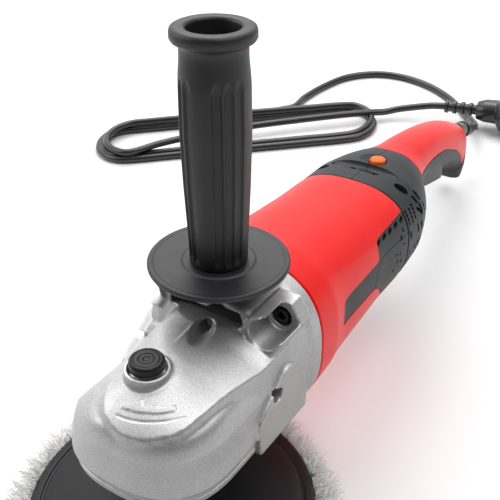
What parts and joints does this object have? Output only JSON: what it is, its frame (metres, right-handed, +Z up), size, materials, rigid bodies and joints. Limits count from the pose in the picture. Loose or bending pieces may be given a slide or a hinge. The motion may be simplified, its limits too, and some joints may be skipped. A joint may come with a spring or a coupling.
{
  "type": "rotary polisher",
  "caption": "Corded rotary polisher with a cast gear head, wool bonnet, upright side handle, red motor housing, closed rear grip and folded mains lead.",
  "frame": {"origin": "on the ground under the middle of the machine without its lead, as it rests on the bonnet's rear edge and its tail", "axes": "+Y from the gear head towards the tail, +Z up from the ground, +X out of the side with the visible vents; the machine leans back 7.9 degrees, so the spindle's axis is 7.9 degrees off +Z"},
  "size_m": [0.4393, 0.6801, 0.2886],
  "materials": {
    "cast_aluminium": "sand-textured casting, light grey",
    "bearing_steel": "ground steel",
    "black_steel": "blackened steel",
    "laminations": "stacked electrical steel",
    "copper_winding": "enamelled copper wire",
    "brass": "turned brass",
    "carbon": "pressed carbon",
    "red_plastic": "satin bright red moulding",
    "grey_plastic": "fine-grained dark grey moulding",
    "black_plastic": "satin black moulding",
    "black_rubber": "soft satin black",
    "cord_black": "glossy black cable sheath",
    "plug_pins": "nickel plated",
    "orange_plastic": "glossy orange",
    "circuit_board": "green board",
    "hook_fabric": "pale yellow hook-and-loop",
    "wool": "white lambswool pile"
  },
  "bodies": {
    "root": {"gear_case": "cast_aluminium", "gear_case_cover": "cast_aluminium", "spindle_bearing": "bearing_steel", "armature_front_bearing": "bearing_steel", "armature_rear_bearing": "bearing_steel", "handle_stud": "bearing_steel", "trigger_pin": "bearing_steel", "lock_spring": "bearing_steel", "case_screw_1": "black_steel", "case_screw_2": "black_steel", "case_screw_3": "black_steel", "case_screw_4": "black_steel", "cover_screw_1": "black_steel", "cover_screw_2": "black_steel", "cover_screw_3": "black_steel", "cover_screw_4": "black_steel", "field_stack": "laminations", "field_coil_upper": "copper_winding", "field_coil_lower": "copper_winding", "brush_holder_left": "brass", "brush_holder_right": "brass", "spindle_upper_bush": "brass", "carbon_brush_left": "carbon", "carbon_brush_right": "carbon", "motor_housing": "red_plastic", "grip_cover": "red_plastic", "rear_housing_left": "grey_plastic", "rear_housing_right": "grey_plastic", "side_plate_left": "grey_plastic", "side_plate_right": "grey_plastic", "bearing_bracket": "grey_plastic", "switch_body": "black_plastic", "cord_clamp": "black_plastic", "handle_grip": "black_rubber", "handle_guard": "black_rubber", "cord_relief": "cord_black", "cord_run": "cord_black", "cord_plug_run": "cord_black", "cord_hank": "cord_black", "plug_relief": "cord_black", "plug_body": "cord_black", "plug_pin_1": "plug_pins", "plug_pin_2": "plug_pins", "speed_board": "circuit_board"},
    "spindle": {"spindle_shaft": "bearing_steel", "ring_gear": "bearing_steel", "backing_plate": "black_plastic", "hook_layer": "hook_fabric", "wool_bonnet": "wool"},
    "armature": {"armature_shaft": "bearing_steel", "armature_core": "laminations", "armature_winding_front": "copper_winding", "armature_winding_rear": "copper_winding", "commutator": "copper_winding", "cooling_fan": "grey_plastic", "drive_pinion": "bearing_steel"},
    "lock_button": {"spindle_lock_button": "black_plastic"},
    "lock_on": {"lock_on_button": "orange_plastic"},
    "dial": {"speed_dial": "black_plastic"},
    "trigger_lever": {"trigger": "black_plastic"}
  },
  "joints": [
    {"name": "spindle_spin", "type": "hinge", "parent": "root", "child": "spindle", "pos_m": [0, -0.17986, 0.07094], "axis": [0, 0.137, 0.9906], "continuous": true},
    {"name": "armature_spin", "type": "hinge", "parent": "root", "child": "armature", "pos_m": [0, -0.11453, 0.10532], "axis": [0, 0.9906, -0.137], "continuous": true},
    {"name": "spindle_lock_push", "type": "slide", "parent": "root", "child": "lock_button", "axis": [0, -0.137, -0.9906], "range_m": [0, 0.0037], "stiffness_N_per_m": 800, "springref_m": -0.002, "deforming": ["lock_spring"]},
    {"name": "lock_on_push", "type": "slide", "parent": "root", "child": "lock_on", "axis": [0, -0.137, -0.9906], "range_m": [0, 0.0025], "stiffness_N_per_m": 600, "springref_m": -0.0015},
    {"name": "speed_dial_turn", "type": "hinge", "parent": "root", "child": "dial", "pos_m": [0, 0.05027, 0.11079], "axis": [0, 0.9906, -0.137], "range_deg": [-130, 130]},
    {"name": "trigger_squeeze", "type": "hinge", "parent": "root", "child": "trigger_lever", "pos_m": [0, 0.1315, 0.06674], "axis": [1, 0, 0], "range_deg": [0, 6], "stiffness_Nm_per_rad": 1.5, "springref_deg": -5.73}
  ],
  "couplings": [
    {"joint": "armature_spin", "follows": "spindle_spin", "ratio": 4}
  ]
}
